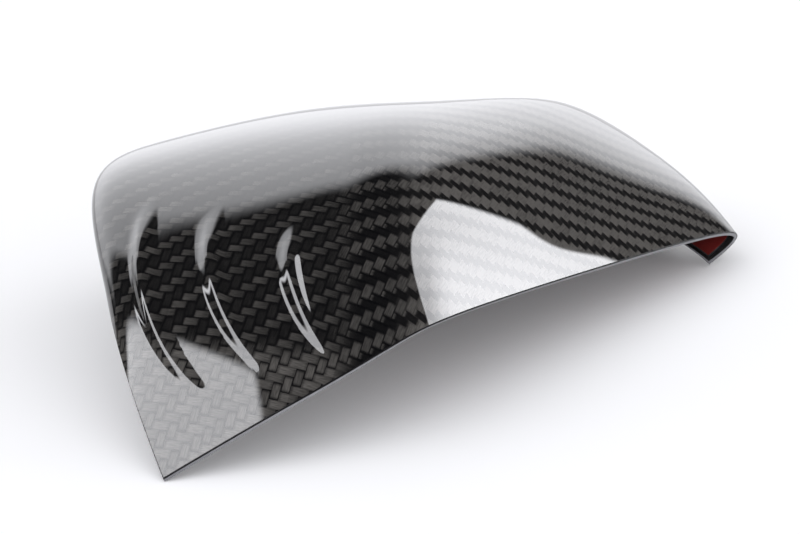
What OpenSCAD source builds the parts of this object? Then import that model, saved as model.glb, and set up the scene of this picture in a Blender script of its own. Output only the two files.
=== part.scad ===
// Stick-on wing mirror cover
// A thin double-curved laminate shell that lies on its corners, open side down. Its four trim edges
// arch up between the corners, and three swept gills are moulded into the wide left end.
// The shell is one spline surface over eight stations. Station 1 is the left trim edge, station 8
// the right one, and each list below has one value per station.
// Along runs from the left corner to the right, out runs from the near edge to the far one.

/* [Overall] */
// Length from the near left corner to the far right one
cover_length = 218; // [196:1:240]
// Width from the near left corner to the far left one
cover_width = 100; // [88:1:112]
// Height of the crown's highest net point
cover_height = 53; // [44:1:60]

/* [Laminate] */
// Thickness of the laminate
wall = 1.2; // [0.8:0.1:2]

/* [Near trim edge] */
// Where each station leaves the near edge, along the cover
near_along = [0, 16, 30, 46, 60, 150, 221, 194.5]; // [0:0.5:240]
// How far out each of these points is
near_out = [0, -11, -18, -23, -24.5, -14.5, -8.5, -5]; // [-40:0.5:20]
// How high the near edge arches at each station
near_rise = [0, 10, 16, 22, 24.5, 15.5, 8.5, 0]; // [0:0.5:35]

/* [Far trim edge] */
// Far left corner, along and out
far_left = [110, 100]; // [20:1:160]
// Far right corner, along and out
far_right = [218, 48]; // [20:1:260]
// How high the far edge arches at its middle
far_rise = 14; // [8:1:30]
// How high the far right corner stands
far_corner_rise = 12; // [4:0.5:20]

/* [Stations between the edges] */
// Bow of each station line along the cover
bow_along = [-13, -27, -28, -11, 4, -3.5, 25.5, 5.5]; // [-40:0.5:40]
// Bow of each station line out
bow_out = [14, 41, 38, 20, 12, -5, 31.5, 8]; // [-20:0.5:50]
// Height of the near wall at each station
near_wall = [11, 22, 30, 41, 39, 18, 20, 2]; // [0:0.5:60]
// Height of the near shoulder at each station
shoulder = [25, 38, 42, 51, 56.5, 29, 27.5, 2]; // [0:0.5:70]
// Height of the crown at each station
crown = [30, 44, 47, 53, 50, 49.5, 27.5, 6]; // [0:0.5:70]
// Height of the far wall at each station
far_wall = [18, 28, 36, 43, 39, 44, 26, 13]; // [0:0.5:60]

/* [Gills, left to right] */
// Lower tip of each gill, along the cover
gill_along = [13.5, 23.5, 33.5]; // [0:0.5:80]
// Lower tip of each gill, out
gill_out = [3, -4, -13]; // [-20:0.5:40]
// How far each gill reaches out from its tip
gill_length = [45, 35, 25]; // [15:0.5:60]
// How far each gill sweeps along the cover on its way
gill_sweep = [28, 21, 15.5]; // [5:0.5:40]
// Height of a gill's crest over the surface
gill_height = 1.4; // [0.6:0.1:2.5]
// Width of a gill's gentle left flank
gill_flank = 2.8; // [1.5:0.1:5]
// Width of a gill's steep right flank
gill_step = 2.2; // [1.2:0.1:4]

/* [Mounting tape] */
// Thickness of the foam tape
tape_thick = 0.8; // [0.4:0.1:1.6]
// Width of the foam tape
tape_width = 9; // [5:0.5:14]
// Distance from the trim edge to the tape
tape_inset = 2.5; // [1.5:0.5:5]
// Where the strip along the near edge starts and ends, as shares of the way along
near_strip = [0.45, 0.9]; // [0:0.01:1]
// Where the strip along the far edge starts and ends, as shares of the way along
far_strip = [0.1, 0.88]; // [0:0.01:1]
// Where the strip along the right edge starts and ends, as shares of the way along
right_strip = [0.965, 0.995]; // [0.95:0.005:1]
// Where the strip along the left edge starts and ends, as shares of the way out
left_strip = [0.15, 0.88]; // [0:0.01:1]
// Thickness of the release liner on the tape
liner_thick = 0.15; // [0.1:0.05:0.4]

/* [Hidden] */
eps = 0.0001;

// Spline over the stations: a clamped cubic spline with evenly spaced knots
degree = 3;
stations = len(near_along);
function knot(i, n) = min(max((i - degree) / (n - degree), 0), 1);
function ratio(a, b) = b < eps ? 0 : a / b;
function blend(i, k, n, x) = k == 0
    ? (x >= knot(i, n) && x < knot(i + 1, n) ? 1 : 0)
    : ratio(x - knot(i, n), knot(i + k, n) - knot(i, n)) * blend(i, k - 1, n, x)
        + ratio(knot(i + k + 1, n) - x, knot(i + k + 1, n) - knot(i + 1, n)) * blend(i + 1, k - 1, n, x);
function weights(n, x) = x > 1 - eps / 100
    ? [for (i = [0:n - 1]) i == n - 1 ? 1 : 0]
    : [for (i = [0:n - 1]) blend(i, degree, n, x)];

// Control net: rows run along the cover, at these shares of the way from the near edge to the far one
row_share = [0, 0.1, 0.3, 0.6, 0.8, 1];
rows = len(row_share);
function lerp(a, b, q) = a + (b - a) * q;
function arch(q) = 4 * q * (1 - q);
far_along = [for (i = [0:stations - 1]) lerp(far_left.x, far_right.x, i / (stations - 1))];
far_out = [for (i = [0:stations - 1]) lerp(far_left.y, far_right.y, i / (stations - 1))];
far_height = [for (i = [0:stations - 1]) let (q = i / (stations - 1))
    lerp(0, far_corner_rise, q) + far_rise * arch(q)];
net_along = [for (i = [0:stations - 1]) [for (q = row_share)
    lerp(near_along[i], far_along[i], q) + bow_along[i] * arch(q)]];
net_out = [for (i = [0:stations - 1]) [for (q = row_share)
    lerp(near_out[i], far_out[i], q) + bow_out[i] * arch(q)]];
net_height = [for (i = [0:stations - 1])
    [near_rise[i], near_wall[i], shoulder[i], crown[i], far_wall[i], far_height[i]]];
function drawn(ws, wt) = [ws * net_along * wt, ws * net_out * wt, ws * net_height * wt];

// The lists above are drawn for one cover, and the overall sizes stretch the whole of it
stretch = [cover_length / far_right.x, cover_width / far_left.y, cover_height / max(crown)];
function on_net(ws, wt) = let (p = drawn(ws, wt)) [for (k = [0:2]) p[k] * stretch[k]];
function skin(s, t) = on_net(weights(stations, s), weights(rows, t));

// How fast the surface runs in from each trim edge, in mm over the whole span of s or t
start = 0.01;
left_pace = norm(skin(start, 0.5) - skin(0, 0.5)) / start;
near_pace = norm(skin(0.6, start) - skin(0.6, 0)) / start;
far_pace = norm(skin(0.5, 1) - skin(0.5, 1 - start)) / start;

// Grid lines: close together under the gills and where the right end turns under, and on both
// borders of each strip of tape
gill_zone = [0.36, 0.4];
turn_zone = 0.85;
function span(a, b, n) = [for (i = [1:n]) lerp(a, b, i / n)];
tape_end = tape_inset + tape_width;
tape_cells = 2;
s_lines = concat(
    [0], span(0, tape_inset / left_pace, 1),
    span(tape_inset / left_pace, tape_end / left_pace, tape_cells),
    span(tape_end / left_pace, gill_zone.x, 33),
    span(gill_zone.x, turn_zone, 14),
    span(turn_zone, right_strip[0], 12),
    span(right_strip[0], right_strip[1], tape_cells),
    [1]);
t_lines = concat(
    [0], span(0, tape_inset / near_pace, 1),
    span(tape_inset / near_pace, tape_end / near_pace, tape_cells),
    span(tape_end / near_pace, gill_zone.y, 22),
    span(gill_zone.y, 1 - tape_end / far_pace, 13),
    span(1 - tape_end / far_pace, 1 - tape_inset / far_pace, tape_cells),
    [1]);
s_count = len(s_lines);
t_count = len(t_lines);
s_weights = [for (s = s_lines) weights(stations, s)];
t_weights = [for (t = t_lines) weights(rows, t)];

// Slope of the surface at a grid line, by a small step to both sides of it
slope_step = 0.002;
function slopes(n, x) = let (a = max(x - slope_step, 0), b = min(x + slope_step, 1))
    (weights(n, b) - weights(n, a)) / (b - a);
s_slopes = [for (s = s_lines) slopes(stations, s)];
t_slopes = [for (t = t_lines) slopes(rows, t)];
function unit(p) = p / norm(p);

// Height of the gills over a point: each crest is a parabola in plan, with a gentle flank on its
// left and a steep step on its right, and it fades out at both ends
function smooth(x) = let (c = min(max(x, 0), 1)) c * c * (3 - 2 * c);
function gill(p, foot, reach, sweep) = let (
        w = (p.y - foot.y) / reach,
        lean = 2 * sweep * w / reach,
        off = (p.x - foot.x - sweep * w * w) / sqrt(1 + lean * lean),
        narrow = lerp(0.45, 1, smooth(w / 0.55)),
        flank = (off < 0 ? gill_flank : gill_step) * narrow)
    w <= 0 || w >= 1 || abs(off) >= flank
        ? 0
        : gill_height * smooth(w / 0.45) * smooth((1 - w) / 0.35) * smooth(1 - abs(off) / flank);
function gills(p) = max([for (k = [0:len(gill_along) - 1])
    gill(p, [gill_along[k], gill_out[k]], gill_length[k], gill_sweep[k])]);

// The surface, its outward normals and the gills at every crossing of the grid lines
base = [for (a = [0:s_count - 1]) [for (b = [0:t_count - 1]) on_net(s_weights[a], t_weights[b])]];
normals = [for (a = [0:s_count - 1]) [for (b = [0:t_count - 1])
    unit(cross(on_net(s_slopes[a], t_weights[b]), on_net(s_weights[a], t_slopes[b])))]];
lifts = [for (a = [0:s_count - 1]) [for (b = [0:t_count - 1])
    gills(drawn(s_weights[a], t_weights[b]))]];
function raw_point(a, b, depth) = base[a][b] + normals[a][b] * (lifts[a][b] - depth);

// The origin is under the middle of the shell's box, on the surface that it lies on
shell_points = [for (depth = [0, wall]) for (a = [0:s_count - 1]) for (b = [0:t_count - 1])
    raw_point(a, b, depth)];
function middle(k) = (min([for (p = shell_points) p[k]]) + max([for (p = shell_points) p[k]])) / 2;
origin = [middle(0), middle(1), min([for (p = shell_points) p.z])];

// A solid between two depths under the outer face, over a range of grid lines
module layer(outer_depth, inner_depth, s_from, s_to, t_from, t_to) {
    m = s_to - s_from;
    n = t_to - t_from;
    size = (m + 1) * (n + 1);
    points = [for (depth = [outer_depth, inner_depth]) for (a = [s_from:s_to]) for (b = [t_from:t_to])
        raw_point(a, b, depth) - origin];
    top = [for (a = [0:m]) [for (b = [0:n]) a * (n + 1) + b]];
    outer_faces = [for (a = [0:m - 1]) for (b = [0:n - 1]) each [
        [top[a][b], top[a + 1][b + 1], top[a + 1][b]],
        [top[a][b], top[a][b + 1], top[a + 1][b + 1]]]];
    border = concat(
        [for (a = [0:m - 1]) top[a][0]],
        [for (b = [0:n - 1]) top[m][b]],
        [for (a = [m:-1:1]) top[a][n]],
        [for (b = [n:-1:1]) top[0][b]]);
    edges = len(border);
    edge_faces = [for (i = [0:edges - 1]) let (p = border[i], q = border[(i + 1) % edges]) each [
        [p, q, q + size],
        [p, q + size, p + size]]];
    inner_faces = [for (f = outer_faces) [f[0] + size, f[2] + size, f[1] + size]];
    polyhedron(points, concat(outer_faces, edge_faces, inner_faces), convexity = 6);
}

// Strips of tape: each follows one trim edge, between these grid lines, and clear of the others
first = 1;
after = first + tape_cells;
s_last = s_count - 2;
t_last = t_count - 2;
function line_at(lines, share) = min([for (i = [0:len(lines) - 1]) if (lines[i] >= share) i]);
function range_of(lines, shares) = [line_at(lines, shares[0]), line_at(lines, shares[1])];
near_range = range_of(s_lines, near_strip);
far_range = range_of(s_lines, far_strip);
left_range = range_of(t_lines, left_strip);
strip_near = [near_range[0], near_range[1], first, after];
strip_far = [far_range[0], far_range[1], t_last - tape_cells, t_last];
strip_left = [first, after, left_range[0], left_range[1]];
strip_right = [s_last - tape_cells, s_last, first, t_last];

module tape(strip) {
    color("#26262a") layer(wall, wall + tape_thick, strip[0], strip[1], strip[2], strip[3]);
}

module liner(strip) {
    depth = wall + tape_thick;
    color("#8c2a22") layer(depth, depth + liner_thick, strip[0], strip[1], strip[2], strip[3]);
}

module shell() {
    color("#232326") layer(0, wall, 0, s_count - 1, 0, t_count - 1);
}

shell();
tape(strip_near);  // tape_near
tape(strip_far);  // tape_far
tape(strip_left);  // tape_left
tape(strip_right);  // tape_right
liner(strip_near);  // liner_near
liner(strip_far);  // liner_far
liner(strip_left);  // liner_left
liner(strip_right);  // liner_right
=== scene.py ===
# %% [markdown]
# # A stick-on carbon-fibre wing mirror cover
#
# The object is one thin shell of twill carbon fibre under a deep clear coat, with three swept gills
# pressed into its wide end and strips of foam tape inside. This lesson builds its looks around the
# solid model, which fixes every size. The surface is worked out again here with the same spline, on
# a much finer grid, because a glossy coat shows every facet in its reflections.

import math

import bpy
import numpy as np
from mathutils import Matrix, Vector


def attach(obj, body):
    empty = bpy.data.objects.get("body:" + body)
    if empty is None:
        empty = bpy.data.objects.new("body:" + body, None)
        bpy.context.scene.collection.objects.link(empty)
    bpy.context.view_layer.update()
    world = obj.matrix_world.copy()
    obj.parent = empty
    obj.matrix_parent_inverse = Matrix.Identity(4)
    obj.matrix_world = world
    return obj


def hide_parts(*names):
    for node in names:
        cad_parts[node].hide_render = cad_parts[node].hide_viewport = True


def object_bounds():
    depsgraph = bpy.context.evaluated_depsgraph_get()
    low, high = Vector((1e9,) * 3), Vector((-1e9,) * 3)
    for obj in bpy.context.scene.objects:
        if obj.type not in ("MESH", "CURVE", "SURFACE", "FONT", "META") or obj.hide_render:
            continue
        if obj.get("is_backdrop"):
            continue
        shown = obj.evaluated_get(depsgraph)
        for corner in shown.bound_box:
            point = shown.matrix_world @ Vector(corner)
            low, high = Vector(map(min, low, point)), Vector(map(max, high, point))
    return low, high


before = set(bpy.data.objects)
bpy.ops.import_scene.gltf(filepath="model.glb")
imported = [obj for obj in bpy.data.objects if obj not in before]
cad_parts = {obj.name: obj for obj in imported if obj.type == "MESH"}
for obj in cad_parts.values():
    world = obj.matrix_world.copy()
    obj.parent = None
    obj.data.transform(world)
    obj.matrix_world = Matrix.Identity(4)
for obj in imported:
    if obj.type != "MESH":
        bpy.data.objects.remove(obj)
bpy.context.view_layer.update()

# %% [markdown]
# ## The spline surface
#
# A cover like this is laid up over a master that was shaped as one smooth skin. A spline net does
# the same: eight stations from the left edge to the right one, six rows from the near edge to the
# far one, and a smooth sheet pulled towards the net. Blender has its own spline surfaces, but then
# the gills and the cut edge could not follow the sheet's normals, so the sheet is a plain function.
# All lengths in this part are in millimetres, as in the solid model.

# %% The control net
near_along = np.array([0, 16, 30, 46, 60, 150, 221, 194.5])
near_out = np.array([0, -11, -18, -23, -24.5, -14.5, -8.5, -5.0])
near_rise = np.array([0, 10, 16, 22, 24.5, 15.5, 8.5, 0.0])
near_wall = np.array([11, 22, 30, 41, 39, 18, 20, 2.0])
shoulder = np.array([25, 38, 42, 51, 56.5, 29, 27.5, 2.0])
crown = np.array([30, 44, 47, 53, 50, 49.5, 27.5, 6.0])
far_wall = np.array([18, 28, 36, 43, 39, 44, 26, 13.0])
bow_along = np.array([-13, -27, -28, -11, 4, -3.5, 25.5, 5.5])
bow_out = np.array([14, 41, 38, 20, 12, -5, 31.5, 8.0])
far_left = np.array([110, 100.0])
far_right = np.array([218, 48.0])
far_rise = 14.0
far_corner_rise = 12.0
row_share = np.array([0, 0.1, 0.3, 0.6, 0.8, 1])
degree = 3
stations, rows = len(near_along), len(row_share)


def control_net():
    """Each station runs straight from its near point to its far point and is bowed by a parabola.
    The far points lie evenly on a line that climbs to the right and is arched by a parabola too."""
    share = np.linspace(0, 1, stations)
    far = far_left + (far_right - far_left) * share[:, None]
    arch = 4 * row_share * (1 - row_share)
    along = near_along[:, None] * (1 - row_share) + far[:, :1] * row_share + bow_along[:, None] * arch
    out = near_out[:, None] * (1 - row_share) + far[:, 1:] * row_share + bow_out[:, None] * arch
    far_edge = far_corner_rise * share + far_rise * 4 * share * (1 - share)
    rise = np.stack([near_rise, near_wall, shoulder, crown, far_wall, far_edge], 1)
    return np.stack([along, out, rise], -1)


net = control_net()
print("control net", net.shape)


# %% The sheet as a function
def weights(count, at):
    """Weight of each of count net lines at each place from 0 to 1: the Cox-de Boor rule, which
    starts with steps between the knots and blends neighbours three times."""
    knots = np.clip((np.arange(count + degree + 1) - degree) / (count - degree), 0, 1)
    at = np.minimum(np.clip(np.asarray(at, float), 0, 1), 1 - 1e-12)[..., None]
    level = ((at >= knots[:-1]) & (at < knots[1:])).astype(float)
    for k in range(1, degree + 1):
        rise = knots[k:-1] - knots[: -k - 1]
        fall = knots[k + 1 :] - knots[1:-k]
        up = (at - knots[: -k - 1]) / np.where(rise > 0, rise, np.inf)
        down = (knots[k + 1 :] - at) / np.where(fall > 0, fall, np.inf)
        level = up * level[..., :-1] + down * level[..., 1:]
    return level


def sheet(s, t):
    """Point of the sheet at share s along and t out: the net weighted both ways."""
    return np.einsum("...i,ijk,...j->...k", weights(stations, s), net, weights(rows, t))


print("middle of the sheet at", sheet(0.5, 0.5).round(1))


# %% Slopes and normals
def unit(v):
    """Vectors brought to length one."""
    return v / np.linalg.norm(v, axis=-1, keepdims=True)


def slopes(function, s, t, step=1e-3):
    """How a function of s and t runs with each of them, by a small step to both sides."""
    s0, s1 = np.clip(s - step, 0, 1), np.clip(s + step, 0, 1)
    t0, t1 = np.clip(t - step, 0, 1), np.clip(t + step, 0, 1)
    run_s = (function(s1, t) - function(s0, t)) / (s1 - s0)[..., None]
    run_t = (function(s, t1) - function(s, t0)) / (t1 - t0)[..., None]
    return run_s, run_t


def facing(function, s, t, step=1e-3):
    """Outward normal of a surface function, square to how it runs with s and with t."""
    return unit(np.cross(*slopes(function, s, t, step)))


print("normal in the middle", facing(sheet, np.array(0.5), np.array(0.5)).round(2))

# %% [markdown]
# ## The gills
#
# The three gills are pressed into the wide end: each is a low ridge that follows a parabola in plan,
# a little wider on its right, and fades out at both ends. They could be sculpted, but a height that
# is added along the sheet's normal stays the same in every run. They stand 0.4 mm higher here than
# in the solid model, and their right flanks are 1.6 mm wider, because a ridge of this section
# mirrors the two streaks of light that each gill shows.

# %% Sizes of the gills
gill_along = [14.2, 24.2, 34.2]
gill_out = [2.0, -5.0, -15.0]
gill_length = [46.0, 36.0, 27.0]
gill_sweep = [28.0, 21.0, 15.5]
# Height of a gill, and the widths of its flanks
gill_height, left_flank, right_flank = 1.8, 3.0, 3.8
# Shares of a gill's length: where it reaches its full width and height, and over which it fades out
full_width_at, full_height_at, fade_length = 0.7, 0.8, 0.3
# Share of its full width that a gill has at its lower tip
tip_width = 0.45
print("gills", len(gill_along), "up to", gill_height, "mm high")


# %% Height of the gills
def smooth(x):
    """Smooth step from 0 to 1."""
    x = np.clip(x, 0, 1)
    return x * x * (3 - 2 * x)


def gills(points):
    """Highest of the three gills over each point: distance from the parabola, over the flank's
    width, turned into a smooth ridge that grows as a sine and fades towards its upper end."""
    highest = np.zeros(points.shape[:-1])
    for along, out, length, sweep in zip(gill_along, gill_out, gill_length, gill_sweep):
        way = (points[..., 1] - out) / length
        lean = 2 * sweep * way / length
        off = (points[..., 0] - along - sweep * way * way) / np.sqrt(1 + lean * lean)
        narrow = tip_width + (1 - tip_width) * np.clip(way / full_width_at, 0, 1)
        flank = np.where(off < 0, left_flank, right_flank) * narrow
        growing = np.sin(np.clip(way / full_height_at, 0, 1) * math.pi / 2)
        ridge = growing * smooth((1 - way) / fade_length) * smooth(1 - np.abs(off) / flank)
        highest = np.maximum(highest, gill_height * ridge)
    return highest


def shell_point(s, t, depth):
    """Point that lies depth under the outer face, with the gills added along the normal."""
    base = sheet(s, t)
    normal = facing(sheet, s, t)
    return base + normal * (gills(base) - depth)[..., None]


# %% [markdown]
# ## The shell as one closed mesh
#
# The outer and the inner face are the same grid at two depths. The trimmed edge joins them: its
# outer lip is rounded where it was sanded before the clear coat, and the cut face is flat. Solidify
# and Bevel would come close, but the loops below keep the lip even round the corners.

# %% Grid lines
wall = 1.2
lip = 0.3
arc_steps = 4
# The lines lie closest under the gills, and again where the right end turns under
s_stops, s_counts, s_first = [0, 0.36, 0.84, 1], [150, 76, 68], 0.001
t_stops, t_counts, t_first = [0, 0.42, 1], [98, 60], 0.002


def spread_lines(stops, counts, first):
    """Grid lines from 0 to 1 with an even count between each two stops, and one more line close to
    each end, so that the rounded lip doesn't shade the face beside it."""
    spans = [np.linspace(a, b, n, endpoint=False) for a, b, n in zip(stops, stops[1:], counts)]
    return np.sort(np.concatenate(spans + [[1.0, first, 1 - first]]))


s_lines = spread_lines(s_stops, s_counts, s_first)
t_lines = spread_lines(t_stops, t_counts, t_first)
print("grid", len(s_lines), "by", len(t_lines))


# %% The border of a grid
def inset_grid(s_line, t_line, inset):
    """The grid squeezed so that its border lies inset millimetres further in: each side moves by
    the inset over how many millimetres the sheet runs for a whole span of s or t there."""
    s, t = np.meshgrid(s_line, t_line, indexing="ij")
    share_s, share_t = (
        (value - line[0]) / (line[-1] - line[0]) for value, line in ((s, s_line), (t, t_line))
    )
    left, right = (
        inset / np.linalg.norm(slopes(sheet, np.full_like(s, end), t)[0], axis=-1)
        for end in (s_line[0], s_line[-1])
    )
    near, far = (
        inset / np.linalg.norm(slopes(sheet, s, np.full_like(t, end))[1], axis=-1)
        for end in (t_line[0], t_line[-1])
    )
    return s + left * (1 - share_s) - right * share_s, t + near * (1 - share_t) - far * share_t


def border(grid):
    """The outermost values of a grid, once round: near edge, right edge, far edge, left edge."""
    return np.concatenate([grid[:-1, 0], grid[-1, :-1], grid[:0:-1, -1], grid[0, :0:-1]])


# %% Quads of a slab
upper_face, cut_face, lower_face, near_rim = range(4)


def grid_quads(count_s, count_t, start, turned):
    """Quads between neighbouring grid points; turned ones face the other way."""
    number = np.arange(count_s * count_t).reshape(count_s, count_t) + start
    quads = np.stack([number[:-1, :-1], number[1:, :-1], number[1:, 1:], number[:-1, 1:]], -1)
    quads = quads.reshape(-1, 4)
    return quads[:, ::-1] if turned else quads


def ring_quads(upper, lower):
    """Quads between two closed loops of the same length, facing away from what they surround."""
    return np.stack([upper, lower, np.roll(lower, -1), np.roll(upper, -1)], -1)


def slab_quads(shape, ring, steps):
    """Quads of a slab and the kind of each. Its points are numbered in this order: the upper grid,
    the loops of the rim from the top down, the lower grid."""
    size, around = shape[0] * shape[1], len(ring)
    last = size + around * steps
    loops = [ring] + [size + around * k + np.arange(around) for k in range(steps)]
    upper = grid_quads(*shape, 0, False)
    rim = np.concatenate([ring_quads(a, b) for a, b in zip(loops, loops[1:])])
    cut = ring_quads(loops[-1], ring + last)
    lower = grid_quads(*shape, last, True)
    on_near_edge = np.tile(np.arange(around) < shape[0] - 1, steps)
    kinds = [
        np.full(len(upper), upper_face), np.where(on_near_edge, near_rim, upper_face),
        np.full(len(cut), cut_face), np.full(len(lower), lower_face),
    ]
    return np.concatenate([upper, rim, cut, lower]), np.concatenate(kinds)


# %% A slab with a rounded rim
normal_step = 5e-4


def slab(s_line, t_line, top, bottom, rounding, steps):
    """A layer between two depths under the outer face, over the grid lines' range, with its upper
    rim rounded: each loop of the rim lies on a quarter circle. Gives points, their s and t, quads,
    each quad's kind, and each quad corner's normal."""
    s_top, t_top = inset_grid(s_line, t_line, rounding)
    s_all, t_all = np.meshgrid(s_line, t_line, indexing="ij")
    ring = border(np.arange(s_all.size).reshape(s_all.shape))
    at_top = np.full(len(ring), top)
    outward = unit(
        shell_point(border(s_all), border(t_all), at_top)
        - shell_point(border(s_top), border(t_top), at_top)
    )
    up = facing(lambda s, t: shell_point(s, t, top), s_top, t_top, normal_step).reshape(-1, 3)
    down = -facing(lambda s, t: shell_point(s, t, bottom), s_all, t_all, normal_step).reshape(-1, 3)
    places, normals = [(s_top.ravel(), t_top.ravel(), np.full(s_top.size, top))], [up]
    for step in range(1, steps + 1):
        turn = step / steps * math.pi / 2
        inset, depth = rounding * (1 - math.sin(turn)), rounding * (1 - math.cos(turn))
        s_loop, t_loop = inset_grid(s_line, t_line, inset)
        places.append((border(s_loop), border(t_loop), at_top + depth))
        normals.append(unit(up[ring] * math.cos(turn) + outward * math.sin(turn)))
    places.append((s_all.ravel(), t_all.ravel(), np.full(s_all.size, bottom)))
    normals.append(down)
    s, t, depth = (np.concatenate(part) for part in zip(*places))
    quads, kinds = slab_quads(s_all.shape, ring, steps)
    corner_normals = np.concatenate(normals)[quads]
    after = np.roll(outward, -1, 0)
    corner_normals[kinds == cut_face] = np.stack([outward, outward, after, after], 1)
    return shell_point(s, t, depth), s, t, quads, kinds, corner_normals


points, shell_s, shell_t, quads, kinds, corner_normals = slab(
    s_lines, t_lines, 0.0, wall, lip, arc_steps)
low, high = points.min(0), points.max(0)
shift = np.array([(low[0] + high[0]) / 2, (low[1] + high[1]) / 2, low[2]])
print("shift", shift, "size", high - low)


# %% Put it into Blender
def placed(points):
    """Millimetres of the net to metres of the solid model: the middle of the shell's box goes over
    the origin, and its lowest point on the floor."""
    return (points - shift) * 0.001


def new_piece(name, points, quads, corner_normals=None):
    """A mesh object from whole arrays of points in metres and quads, with its exact normals."""
    mesh = bpy.data.meshes.new(name)
    mesh.from_pydata(points.tolist(), [], quads.tolist())
    mesh.polygons.foreach_set("use_smooth", np.ones(len(quads), bool))
    if corner_normals is not None:
        mesh.normals_split_custom_set(corner_normals.reshape(-1, 3).tolist())
    piece = bpy.data.objects.new(name, mesh)
    bpy.context.scene.collection.objects.link(piece)
    return piece


shell = new_piece("shell_skin", placed(points), quads, corner_normals)
shell.data.polygons.foreach_set("material_index", kinds)
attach(shell, "root")
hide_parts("shell")
print("shell", 2 * len(quads), "triangles")

# %% [markdown]
# ## How the cloth lies on the shell
#
# Cloth can't be laid flat on a double-curved skin: its tows bend and shear a little. A UV map from
# Unwrap would stretch it at random. Here each place asks for two tow directions, the ones of a flat
# cloth tilted with the surface, and a smooth map is sought whose slopes come closest to all of them.

# %% Tow directions
tow_pitch = 2.03
cloth_turn = math.radians(-67)
cloth_stations, cloth_rows = 12, 9


def tilted(flat, normal):
    """A flat direction turned with the surface: by the shortest turn that takes up to the normal."""
    axis = np.cross([0, 0, 1.0], normal)
    lift = (axis * flat).sum(-1, keepdims=True) / (1 + normal[..., 2:])
    return flat * normal[..., 2:] + np.cross(axis, flat) + axis * lift


def cloth_weights(s, t):
    """Weights of a finer net, one row for each place: those along times those out."""
    both = np.einsum("...i,...j->...ij", weights(cloth_stations, s), weights(cloth_rows, t))
    return both.reshape(s.shape + (-1,))


# %% The cloth map
asked_along, asked_out = 80, 50
# The far half and the right end count for less, because the map has to be truest in front
front_half, front_length, back_weight = 0.5, 0.9, 0.3
s, t = np.meshgrid(
    (np.arange(asked_along) + 0.5) / asked_along, (np.arange(asked_out) + 0.5) / asked_out, indexing="ij")
s, t = s.ravel(), t.ravel()
normal = facing(sheet, s, t)
weft = tilted(np.array([math.cos(cloth_turn), math.sin(cloth_turn), 0]), normal)
warp = tilted(np.array([-math.sin(cloth_turn), math.cos(cloth_turn), 0]), normal)
care = np.where((t < front_half) & (s < front_length), 1, back_weight)
sides, wanted = [], []
for run, change in zip(slopes(sheet, s, t), slopes(cloth_weights, s, t)):
    pull = (care / np.linalg.norm(run, axis=-1))[:, None]
    sides.append(change * pull)
    wanted.append(np.stack([(run * weft).sum(-1), (run * warp).sum(-1)], -1) * pull)
cloth = np.linalg.lstsq(np.concatenate(sides), np.concatenate(wanted), rcond=1e-9)[0] / tow_pitch
print("cloth map", cloth.shape, "tows across", np.ptp(cloth, axis=0).round(1))


# %% Lay the cloth
def lay_cloth(piece, s, t):
    """UV map of the piece, in tows, from the s and t of its points."""
    mesh = piece.data
    corner = np.zeros(len(mesh.loops), int)
    mesh.loops.foreach_get("vertex_index", corner)
    uv = (cloth_weights(s, t) @ cloth)[corner]
    mesh.uv_layers.new(name="cloth").uv.foreach_set("vector", uv.ravel())


lay_cloth(shell, shell_s, shell_t)
print("cloth on", shell.name)

# %% [markdown]
# ## Foam tape and its release liner
#
# Such a cover is stuck on with strips of foam tape that still carry their red liner. Each strip is
# the same slab function at a greater depth, so it follows the inner face exactly. A box on the face
# would stand off the curve.

# %% Where the strips run
tape_thick, liner_thick = 0.8, 0.15
tape_round, liner_round, strip_steps = 0.2, 0.05, 2
tape_inset, tape_width = 2.5, 9.0
middle, near_place, wide_step = np.array([0.5]), np.array([0.6]), 0.01
left_share = tape_inset / np.linalg.norm(slopes(sheet, np.zeros(1), middle, wide_step)[0])
near_share = tape_inset / np.linalg.norm(slopes(sheet, near_place, np.zeros(1), wide_step)[1])
far_share = tape_inset / np.linalg.norm(slopes(sheet, middle, np.ones(1), wide_step)[1])
wide = 1 + tape_width / tape_inset
# Each strip's range of s, its range of t, and its grid lines both ways
strips = {
    "near": ([0.465, 0.9075], [near_share, near_share * wide], (150, 14)),
    "far": ([0.105, 0.888], [1 - far_share * wide, 1 - far_share], (190, 12)),
    "left": ([left_share, left_share * wide], [0.155, 0.885], (12, 120)),
    "right": ([0.96, 0.998], [near_share, 1 - far_share], (26, 90)),
}
print("strips", list(strips))

# %% Lay the strips
tapes, liners = {}, {}
for name, (s_range, t_range, cells) in strips.items():
    s_line, t_line = np.linspace(*s_range, cells[0]), np.linspace(*t_range, cells[1])
    for kind, top, thick, rounding in (
        ("tape", wall, tape_thick, tape_round),
        ("liner", wall + tape_thick, liner_thick, liner_round),
    ):
        points, s, t, quads, kinds, corner_normals = slab(
            s_line, t_line, top, top + thick, rounding, strip_steps)
        piece = new_piece(f"{kind}_{name}_strip", placed(points), quads, corner_normals)
        lay_cloth(piece, s, t)
        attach(piece, "root")
        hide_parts(f"{kind}_{name}")
        (tapes if kind == "tape" else liners)[name] = piece
print("tape", [piece.name for piece in tapes.values()], "liner", [piece.name for piece in liners.values()])

# %% [markdown]
# ## The twill pattern as a node group
#
# In a 2 by 2 twill each tow passes over two others and under two, one step further along in each
# row, so the floats line up in diagonals. Counting tows both ways, the warp is on top where the
# difference of the two counts, modulo four, is 0 or 1. The group reads the cloth's UV map and gives
# masks and a height. An image of cloth would blur when seen close.

# %% Helpers for nodes
def add(tree, kind, inputs=None, **settings):
    """A node with its settings and the values or links of its inputs."""
    node = tree.nodes.new(kind)
    for key, value in settings.items():
        setattr(node, key, value)
    for key, value in (inputs or {}).items():
        if isinstance(value, bpy.types.NodeSocket):
            tree.links.new(value, node.inputs[key])
        else:
            node.inputs[key].default_value = value
    return node


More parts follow.
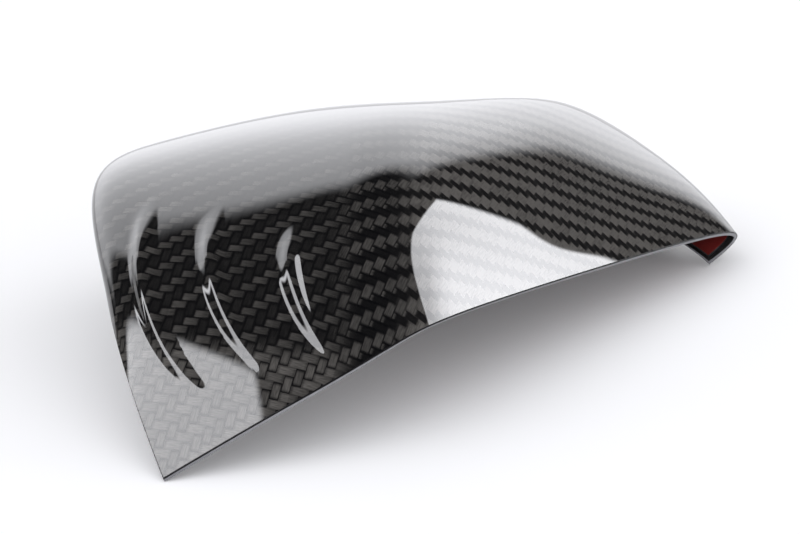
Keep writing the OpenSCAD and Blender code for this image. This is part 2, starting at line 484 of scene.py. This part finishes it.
def math_node(tree, operation, *values, clamp=False):
    """One Math node; its inputs are numbers or sockets."""
    inputs = dict(enumerate(values))
    return add(tree, "ShaderNodeMath", inputs, operation=operation, use_clamp=clamp).outputs[0]


def minus(tree, a, b):
    """Number a less number b."""
    return math_node(tree, "SUBTRACT", a, b)


def times(tree, *values):
    """Product of numbers or sockets."""
    result = values[0]
    for value in values[1:]:
        result = math_node(tree, "MULTIPLY", result, value)
    return result


def scaled(tree, value, factor, start):
    """A value times a factor, plus a start."""
    return math_node(tree, "MULTIPLY_ADD", value, factor, start)


# %% Helpers for ranges, blends and groups
def ramp(tree, value, low, high, to_low=0.0, to_high=1.0):
    """A value taken smoothly from one range to another."""
    inputs = {"Value": value, "From Min": low, "From Max": high, "To Min": to_low, "To Max": to_high}
    return add(tree, "ShaderNodeMapRange", inputs, interpolation_type="SMOOTHSTEP").outputs[0]


def blend(tree, factor, a, b):
    """Number a, moved towards number b by factor."""
    return add(tree, "ShaderNodeMix", {"Factor": factor, "A": a, "B": b}, data_type="FLOAT").outputs[0]


def new_group(name, inputs, outputs):
    """An empty node group with named sockets, and its two end nodes."""
    group = bpy.data.node_groups.new(name, "ShaderNodeTree")
    for label, kind in inputs.items():
        group.interface.new_socket(label, in_out="INPUT", socket_type=kind)
    for label, kind in outputs.items():
        group.interface.new_socket(label, in_out="OUTPUT", socket_type=kind)
    return group, group.nodes.new("NodeGroupInput").outputs, group.nodes.new("NodeGroupOutput").inputs


# %% Which tow is on top
twill, given, result = new_group(
    "twill",
    {"Cloth": "NodeSocketVector"},
    {name: "NodeSocketFloat" for name in ("Warp", "Height", "Fibre", "Shade", "Way", "End", "Edge")},
)
place = add(twill, "ShaderNodeSeparateXYZ", {0: given["Cloth"]}).outputs
count_u, part_u = (math_node(twill, operation, place["X"]) for operation in ("FLOOR", "FRACT"))
count_v, part_v = (math_node(twill, operation, place["Y"]) for operation in ("FLOOR", "FRACT"))
step = math_node(twill, "FLOORED_MODULO", minus(twill, count_u, count_v), 4.0)
warp_on_top = math_node(twill, "LESS_THAN", step, 1.5)


def pick(warp_value, weft_value):
    """The warp's value where the warp is on top, and the weft's elsewhere."""
    return blend(twill, warp_on_top, weft_value, warp_value)


print("twill group takes", [socket.name for socket in given if socket.name])

# %% Along and across each float
# Way runs from 0 to 1 over a float's length of two tows. End is 0 in its middle and 1 at its ends,
# and Edge is 0 in the tow's middle and 1 at its two edges.
warp_way = times(twill, minus(twill, math_node(twill, "ADD", part_v, 1.0), step), 0.5)
weft_way = times(twill, math_node(twill, "ADD", minus(twill, step, 2.0), part_u), 0.5)
way = pick(warp_way, weft_way)
end = math_node(twill, "ABSOLUTE", scaled(twill, way, 2.0, -1.0))
edge = math_node(twill, "ABSOLUTE", scaled(twill, pick(part_u, part_v), 2.0, -1.0))
print("masks on each float: way, end, edge")

# %% Height of the tows
# A float rises as a sine to a power under one, so it is full and dives at its ends, and it falls
# off at its edges as a flattened circle.
fullness, flatness = 0.6, 4.0
crest = math_node(twill, "SINE", times(twill, way, math.pi))
hump = math_node(twill, "POWER", math_node(twill, "MAXIMUM", crest, 0.0), fullness)
sunk = math_node(twill, "POWER", edge, flatness)
round_top = math_node(twill, "SQRT", math_node(twill, "SUBTRACT", 1.0, sunk, clamp=True))
height = times(twill, round_top, hump)
print("height from", fullness, "and", flatness)

# %% Fibres and shade of each tow
# Streaks of fibre over a tow's width and over as much of its length, and changes of shade there
streaks_across, streaks_along, shades_along = 11.0, 0.9, 0.25
# Far apart in the noise, so that the warp and the weft don't repeat each other
warp_apart, weft_apart = 31.7, 57.3
lengthwise, crosswise = pick(place["Y"], place["X"]), pick(place["X"], place["Y"])
grain_place = add(twill, "ShaderNodeCombineXYZ", {
    0: times(twill, crosswise, streaks_across),
    1: times(twill, lengthwise, streaks_along),
    2: times(twill, warp_on_top, warp_apart),
}).outputs[0]
fibre = add(twill, "ShaderNodeTexNoise", {"Vector": grain_place, "Scale": 1.0, "Detail": 2.0}).outputs[0]
shade_place = add(twill, "ShaderNodeCombineXYZ", {
    0: pick(count_u, math_node(twill, "ADD", count_v, weft_apart)),
    1: math_node(twill, "FLOOR", times(twill, lengthwise, shades_along)),
}).outputs[0]
shade = add(twill, "ShaderNodeTexWhiteNoise", {"Vector": shade_place}, noise_dimensions="2D").outputs[0]
for name, value in (
    ("Warp", warp_on_top), ("Height", height), ("Fibre", fibre), ("Shade", shade),
    ("Way", way), ("End", end), ("Edge", edge),
):
    twill.links.new(value, result[name])
print("twill group with", len(twill.nodes), "nodes")

# %% [markdown]
# ## Carbon under a clear coat
#
# Carbon fibres are dark mirrors that shine only square to their run, so one set of tows looks light
# and the other black, and they change places where the surface turns. A tangent-based sheen could
# do this, but few programs read it, so this sheen is painted into the base colour by masks over the
# cover's own length, with painted shade at the ends and edges of the floats. The clear coat over the
# tows is a smooth skin of resin that mirrors the studio. Principled has both layers: the base takes
# the tows and their painted sheen, and the coat stays level over them.

# %% Material helpers
def new_material(name):
    """A material with nodes: its tree, and its Principled node with the output left linked."""
    material = bpy.data.materials.new(name)
    material.use_nodes = True
    return material, material.node_tree, material.node_tree.nodes["Principled BSDF"]


def mix_colour(tree, factor, a, b):
    """Colour a, moved towards colour b by factor."""
    inputs = {0: factor, 6: (*a, 1), 7: (*b, 1)}
    return add(tree, "ShaderNodeMix", inputs, data_type="RGBA").outputs[2]


def place_twill(tree):
    """The twill group on the piece's own cloth map."""
    cloth_place = add(tree, "ShaderNodeUVMap", uv_map="cloth").outputs[0]
    group = add(tree, "ShaderNodeGroup", node_tree=twill)
    tree.links.new(cloth_place, group.inputs["Cloth"])
    return group.outputs


def own_place(tree):
    """The piece's own Object coordinates, in metres."""
    return add(tree, "ShaderNodeTexCoord").outputs["Object"]


def blotches(tree, scale, detail=2.0):
    """Soft noise over the piece, with about scale spots to a metre."""
    inputs = {"Vector": own_place(tree), "Scale": scale, "Detail": detail}
    return add(tree, "ShaderNodeTexNoise", inputs).outputs[0]


def feed(tree, shader, colour, roughness):
    """Links a changing colour and roughness to the shader."""
    tree.links.new(colour, shader.inputs["Base Color"])
    tree.links.new(roughness, shader.inputs["Roughness"])


def feed_bump(tree, shader, height, strength, distance):
    """Links a bump from a height, in metres at full height, to the shader."""
    bump = add(tree, "ShaderNodeBump", {"Strength": strength, "Distance": distance, "Height": height})
    tree.links.new(bump.outputs[0], shader.inputs["Normal"])


# %% Zones of painted sheen on the gloss carbon
# The zones of painted sheen change along this direction over the cover, and these are the places, in
# metres, where the left zone ends and the right one starts. In the lower band of the left zone both
# sets of tows get a painted sheen, and these are the heights between which it ends.
zone_way = math.radians(-50)
left_zone_end, right_zone_start = (-0.0095, -0.0023), (0.0028, 0.016)
lower_sheen_band = (0.019, 0.0235)
carbon, tree, skin = new_material("gloss_carbon")
cloth_out = place_twill(tree)
spot = add(tree, "ShaderNodeSeparateXYZ", {0: own_place(tree)}).outputs
across = math_node(tree, "ADD",
    times(tree, spot["X"], math.cos(zone_way)), times(tree, spot["Y"], math.sin(zone_way)))
leaving = ramp(tree, across, *left_zone_end)
arriving = ramp(tree, across, *right_zone_start)
lower = ramp(tree, spot["Z"], *lower_sheen_band, 1, 0)


def patch(end_from, end_to, edge_from, edge_to):
    """Mask of the middle of each float, which places the painted sheen and shade: it fades towards the
    float's ends and towards its edges.
    """
    inner = ramp(tree, cloth_out["End"], end_from, end_to, 1, 0)
    return times(tree, inner, ramp(tree, cloth_out["Edge"], edge_from, edge_to, 1, 0))


print("zones of", carbon.name, left_zone_end, right_zone_start)

# %% Painted sheen of the weft
# In the left zone a weft float has a painted sheen, strongest near its start. Between the zones only
# its tip has a painted highlight, and in the right zone it is dark with painted light edges. A tone is
# a share of the way from black resin to the fibre's full painted sheen.
fading = ramp(tree, cloth_out["Way"], 0.0, 1.0, 1.25, 0.6)
fading = times(tree, fading, ramp(tree, across, -0.06, -0.02, 1.0, 0.75))
left_float = scaled(tree, times(tree, patch(0.6, 0.95, 0.62, 1.0), fading), 0.4, 0.015)
left_float = scaled(tree, lower, 0.3, left_float)
tip = times(tree, ramp(tree, cloth_out["Way"], 0.06, 0.24, 0.36, 0.03), patch(0.9, 1.0, 0.5, 0.9))
right_float = blend(tree, patch(0.66, 1.0, 0.8, 1.2), 0.9, 0.065)
weft_sheen_tone = blend(tree, arriving, blend(tree, leaving, left_float, tip), right_float)
print("weft tone from three zones")

# %% Painted sheen of the warp
# In the left zone a warp float has only a faint painted sheen, apart from the lower band. Between the
# zones it turns grey, and in the right zone its painted sheen covers it all over, a little darker at its
# edges.
faint = times(tree, patch(0.5, 1.0, 0.6, 1.0), blend(tree, lower, 0.06, 0.55))
faint = math_node(tree, "ADD", faint, 0.015)
middle_float = scaled(tree, patch(0.6, 1.0, 0.7, 1.0), 0.34, 0.03)
bright_float = ramp(tree, cloth_out["Edge"], 0.75, 1.0, 1.0, 0.8)
warp_sheen_tone = blend(tree, arriving, blend(tree, leaving, faint, middle_float), bright_float)
print("warp tone from three zones")

# %% Gloss carbon for the outer face
# Base colour from black resin up to the fibre's full painted sheen, by the tone of painted sheen, a random
# tone per tow and fibre streaks
black_resin, full_fibre_sheen = (0.002, 0.002, 0.0025), (0.1, 0.094, 0.087)
tone = blend(tree, cloth_out["Warp"], weft_sheen_tone, warp_sheen_tone)
shaded = times(tree, tone, ramp(tree, cloth_out["Shade"], 0.0, 1.0, 0.8, 1.15))
body = times(tree, shaded, ramp(tree, cloth_out["Fibre"], 0.25, 0.75, 0.62, 1.38))
feed(tree, skin, mix_colour(tree, body, black_resin, full_fibre_sheen),
    ramp(tree, cloth_out["Fibre"], 0.2, 0.8, 0.42, 0.55))
feed_bump(tree, skin, cloth_out["Height"], 0.5, 0.0002)
skin.inputs["Specular IOR Level"].default_value = 0.0
skin.inputs["Coat Weight"].default_value = 1.0
skin.inputs["Coat Roughness"].default_value = 0.02
skin.inputs["Coat IOR"].default_value = 1.5
print(carbon.name, "with", len(tree.nodes), "nodes")

# %% [markdown]
# ## The cut edge
#
# The trimmed edge was sawn and sanded through the plies, so it is a dull grey with fine dust lines.
# An image of plies would have to be mapped round four edges. Fine noise in the piece's own
# coordinates gives the same grain all round.

# %% Cut edge
cut, tree, sanded = new_material("cut_edge")
sawn_grey, dust_grey = (0.16, 0.16, 0.17), (0.34, 0.34, 0.36)
ply = blotches(tree, 900.0, 3.0)
feed(tree, sanded, mix_colour(tree, ply, sawn_grey, dust_grey), ramp(tree, ply, 0.3, 0.7, 0.45, 0.65))
feed_bump(tree, sanded, ply, 0.3, 0.0001)
print(cut.name, "with", len(tree.nodes), "nodes")

# %% [markdown]
# ## The bare laminate inside
#
# The inner face has no clear coat. It is dark resin with the cloth printed through, painted shade in
# the hollows of the weave, and uneven patches of sheen, as a vacuum bag leaves it. It could share the
# outer face's material without its coat, but the inside shows no light and dark tows, so it has its
# own plainer one.

# %% Bare laminate on the inner face
bare, tree, inside = new_material("bare_laminate")
cloth_out = place_twill(tree)
dark_resin, worn_resin = (0.006, 0.006, 0.007), (0.022, 0.022, 0.023)
blotch = blotches(tree, 60.0)
# Darker where the tows dip at their ends and edges: painted shade in the hollows of the weave
dip_shade = ramp(tree, cloth_out["Height"], 0.0, 0.7, 0.3, 1.0)
tone = times(tree, dip_shade, ramp(tree, blotch, 0.3, 0.7, 0.6, 1.0))
feed(tree, inside, mix_colour(tree, tone, dark_resin, worn_resin), ramp(tree, blotch, 0.3, 0.7, 0.4, 0.6))
feed_bump(tree, inside, cloth_out["Height"], 0.6, 0.0002)
print(bare.name, "with", len(tree.nodes), "nodes")

# %% [markdown]
# ## The painted dark near lip
#
# Along the near edge the rounded lip mirrors the dark part of the studio, and this dark line is painted:
# the lip gets a black colour with little gloss, so it draws a line of painted shade between the coat
# and the cut face. A fourth material on the near rim's faces does this, and the other three edges keep
# their coated lip.

# %% Painted dark lip, and the shell's materials
dark_lip_material, tree, dark_lip = new_material("painted_dark_lip")
lip_grey = (0.009, 0.009, 0.01)
blotch = blotches(tree, 400.0)
feed(tree, dark_lip, mix_colour(tree, blotch, black_resin, lip_grey), ramp(tree, blotch, 0.3, 0.7, 0.3, 0.5))
dark_lip.inputs["Specular IOR Level"].default_value = 0.2
for material in (carbon, cut, bare, dark_lip_material):
    shell.data.materials.append(material)
print("shell materials", [m.name for m in shell.data.materials])

# %% [markdown]
# ## Foam and liner
#
# The foam is matt black acrylic with fine closed cells, which a Voronoi pattern draws, and the liner
# is a thin red film that is a little uneven where it was pressed on. Both could be plain colours,
# but the liner's end shows inside the right tip.

# %% Foam
foam, tree, soft = new_material("foam")
cell_dark, cell_light = (0.006, 0.006, 0.007), (0.03, 0.03, 0.032)
cells = add(tree, "ShaderNodeTexVoronoi", {"Vector": own_place(tree), "Scale": 2500.0}).outputs[0]
feed(tree, soft, mix_colour(tree, cells, cell_dark, cell_light), ramp(tree, cells, 0.0, 1.0, 0.8, 0.95))
feed_bump(tree, soft, cells, 0.5, 0.0001)
print(foam.name, "with", len(tree.nodes), "nodes")

# %% Liner
film, tree, red = new_material("liner_film")
dark_red, bright_red = (0.1, 0.01, 0.009), (0.3, 0.03, 0.025)
blotch = blotches(tree, 90.0)
feed(tree, red, mix_colour(tree, blotch, dark_red, bright_red), ramp(tree, blotch, 0.3, 0.7, 0.28, 0.42))
feed_bump(tree, red, blotch, 0.2, 0.0004)
for name in strips:
    tapes[name].data.materials.append(foam)
    liners[name].data.materials.append(film)
print(film.name, "on", len(liners), "strips")

# %% [markdown]
# ## Camera
#
# The photograph looks slightly down on the cover from its near left corner with a long lens, so the
# camera stands about half a metre away and keeps the verticals nearly straight. Its place is given
# in the net's millimetres, and its heading is counted from straight out towards the right.

# %% Camera
camera_place = Vector(placed(np.array([-265.48, -284.12, 162.0])))
camera_heading, camera_pitch = math.radians(50), math.radians(17)
focal_pixels, photo_width = 2100, 800
camera_data = bpy.data.cameras.new("camera")
camera_data.sensor_width = 36
camera_data.lens = camera_data.sensor_width * focal_pixels / photo_width
camera = bpy.data.objects.new("camera", camera_data)
ahead = Vector((
    math.sin(camera_heading) * math.cos(camera_pitch),
    math.cos(camera_heading) * math.cos(camera_pitch),
    -math.sin(camera_pitch),
))
camera.location = camera_place
camera.rotation_euler = ahead.to_track_quat("-Z", "Y").to_euler()
bpy.context.scene.collection.objects.link(camera)
bpy.context.scene.camera = camera
print("lens", camera_data.lens, "mm")

# %% [markdown]
# ## Studio
#
# A gloss shell shows its studio: a lit white backdrop behind it, a large softbox to the right and
# another overhead to the left, with darkness between them. Lamps with card shapes could do this, but
# the outlines in the coat would be hard to steer. The world stands for all three instead, as a
# function of direction, in degrees to the right of the camera's heading and degrees up.

# %% Directions in the studio
world = bpy.data.worlds.new("studio")
bpy.context.scene.world = world
world.use_nodes = True
tree = world.node_tree
tree.nodes.clear()
sky_place = add(tree, "ShaderNodeTexCoord").outputs["Generated"]
ray = add(tree, "ShaderNodeSeparateXYZ", {0: sky_place}).outputs
cosine, sine = math.cos(camera_heading), math.sin(camera_heading)


def along(right, away, up):
    """How far the ray points along a direction given as right, away and up: the sum of its three
    coordinates, each times the direction's own."""
    reach = 0.0
    for axis, factor in zip("XYZ", (right * cosine + away * sine, away * cosine - right * sine, up)):
        reach = scaled(tree, ray[axis], factor, reach)
    return reach


def over(a, b):
    """How far a lies over b, and 0 where it lies under."""
    return math_node(tree, "MAXIMUM", minus(tree, a, b), 0.0)


to_back = along(0, 1, 0)
turn = math_node(tree, "DEGREES", math_node(tree, "ARCTAN2", along(1, 0, 0), to_back))
rise = math_node(tree, "DEGREES", math_node(tree, "ARCSINE", along(0, 0, 1)))
print("directions from", len(tree.nodes), "nodes")

# %% The backdrop
# Its top edge comes down by 16 degrees towards the right, its left edge leans, and it grows
# brighter towards its top.
back_top = minus(tree, 54, times(tree, ramp(tree, turn, -4, 30), 16))
back_left = ramp(tree, rise, -6, 14, -49, -61)
backdrop = times(tree,
    ramp(tree, minus(tree, rise, back_top), -6, 2, 1, 0),
    ramp(tree, turn, 26, 30.5, 1, 0),
    ramp(tree, turn, 20, 27, 1, 0.74),
    ramp(tree, turn, -8, 8, 1, 0.9),
    ramp(tree, minus(tree, turn, back_left), -3, 3),
    ramp(tree, rise, -12, 22, 1.2, 2.9),
)
print("backdrop drawn")

# %% The right softbox
# Its left edge has a knee and curls away at its foot, its top edge is an arch, and it is brighter
# low down on its right.
knee, edge_at_knee, above_slope, below_slope = 33, 38.3, 0.78, 0.4
curl_from, curl = 22.6, 1.3
arch_middle, arch_top, arch_fall = 56.5, 46.2, -0.03
box_level, box_extra = 6.9, 4.4
box_edge = scaled(tree, over(rise, knee), above_slope, edge_at_knee)
box_edge = scaled(tree, over(knee, rise), below_slope, box_edge)
low = over(curl_from, rise)
box_edge = scaled(tree, times(tree, low, low), curl, box_edge)
from_middle = minus(tree, turn, arch_middle)
box_top = scaled(tree, times(tree, from_middle, from_middle), arch_fall, arch_top)
brighter = times(tree, ramp(tree, turn, 42, 60), ramp(tree, rise, 29, 40, 1, 0))
right_box = times(tree,
    ramp(tree, minus(tree, turn, box_edge), -0.4, 0.6),
    ramp(tree, turn, 100, 104, 1, 0),
    ramp(tree, minus(tree, rise, box_top), -0.7, 0.7, 1, 0),
    ramp(tree, rise, 14, 16),
    scaled(tree, brighter, box_extra, box_level),
)
print("right softbox at", box_level)

# %% The left softbox
# Two straight edges are planes through the cover, so each is a limit on how far the ray points
# along one direction. Its foot drops towards the camera's heading.
left_level = 8.1
left_foot = ramp(tree, turn, -78, -67, 29, 4)
left_box = times(tree,
    ramp(tree, along(1, 0, 0.277), -0.02, 0.01, 1, 0),
    ramp(tree, along(0.43, 0.877, 0.214), -0.06, -0.03, 1, 0),
    ramp(tree, turn, -165, -160),
    ramp(tree, minus(tree, rise, left_foot), -4, 3),
    left_level,
)
studio_light = math_node(tree, "ADD", math_node(tree, "ADD", backdrop, right_box), left_box)
studio_light = scaled(tree, studio_light, 1.03, 0.03)
print("left softbox at", left_level)

# %% [markdown]
# ## What each ray sees of the studio
#
# Glossy rays see the three lights, so the coat mirrors them at full strength. All other rays see a
# tenth of them and a plain fill from the front, at which a white floor renders about white. Rays
# that reach the world straight from the camera, or through glass, see plain white. Separate lamps
# for gloss and for light are the other way, but they would cast shadows of their own.

# %% World output
studio_share = 0.1
path = add(tree, "ShaderNodeLightPath").outputs
front_fill = ramp(tree, to_back, -0.6, 0.3, 1.6, 0.3)
for_diffuse = scaled(tree, studio_light, studio_share, front_fill)
level = blend(tree, path["Is Glossy Ray"], for_diffuse, studio_light)
seen = math_node(tree, "ADD", path["Is Camera Ray"], path["Is Transmission Ray"], clamp=True)
level = blend(tree, seen, level, 1.0)
background = add(tree, "ShaderNodeBackground", {"Color": (0.985, 0.99, 1.025, 1), "Strength": level})
add(tree, "ShaderNodeOutputWorld", {"Surface": background.outputs[0]})
print("world with", len(tree.nodes), "nodes")

# %% [markdown]
# ## Floor
#
# The cover lies on white paper without a visible edge. The floor's own colour is white, and a touch
# of emission that camera, glossy and transmission rays see lifts it to the background's white, so it
# still takes the cover's shadow. More light would wash out the cover instead.

# %% Floor
floor_half, paper_lift = 20.0, 0.06
floor_material, tree, paper = new_material("floor")
paper.inputs["Base Color"].default_value = (0.97, 0.97, 0.97, 1)
paper.inputs["Roughness"].default_value = 0.9
paper.inputs["Specular IOR Level"].default_value = 0.0
paper.inputs["Emission Color"].default_value = (1.0, 0.98, 1.0, 1)
path = add(tree, "ShaderNodeLightPath").outputs
seen = math_node(tree, "ADD", path["Is Camera Ray"], path["Is Glossy Ray"])
seen = math_node(tree, "ADD", seen, path["Is Transmission Ray"], clamp=True)
tree.links.new(times(tree, seen, paper_lift), paper.inputs["Emission Strength"])
corners = floor_half * np.array([[-1, -1, 0], [1, -1, 0], [1, 1, 0], [-1, 1, 0]])
floor = new_piece("floor", corners, np.array([[0, 1, 2, 3]]))
floor.data.materials.append(floor_material)
floor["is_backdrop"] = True
bpy.context.scene.view_settings.view_transform = "Standard"
print("floor", 2 * floor_half, "m wide")

# %% [markdown]
# ## The size of the dressed model
#
# Its box, without the floor, is printed.

# %% Finish
low, high = (list(corner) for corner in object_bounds())
print("visual model from", low, "to", high)
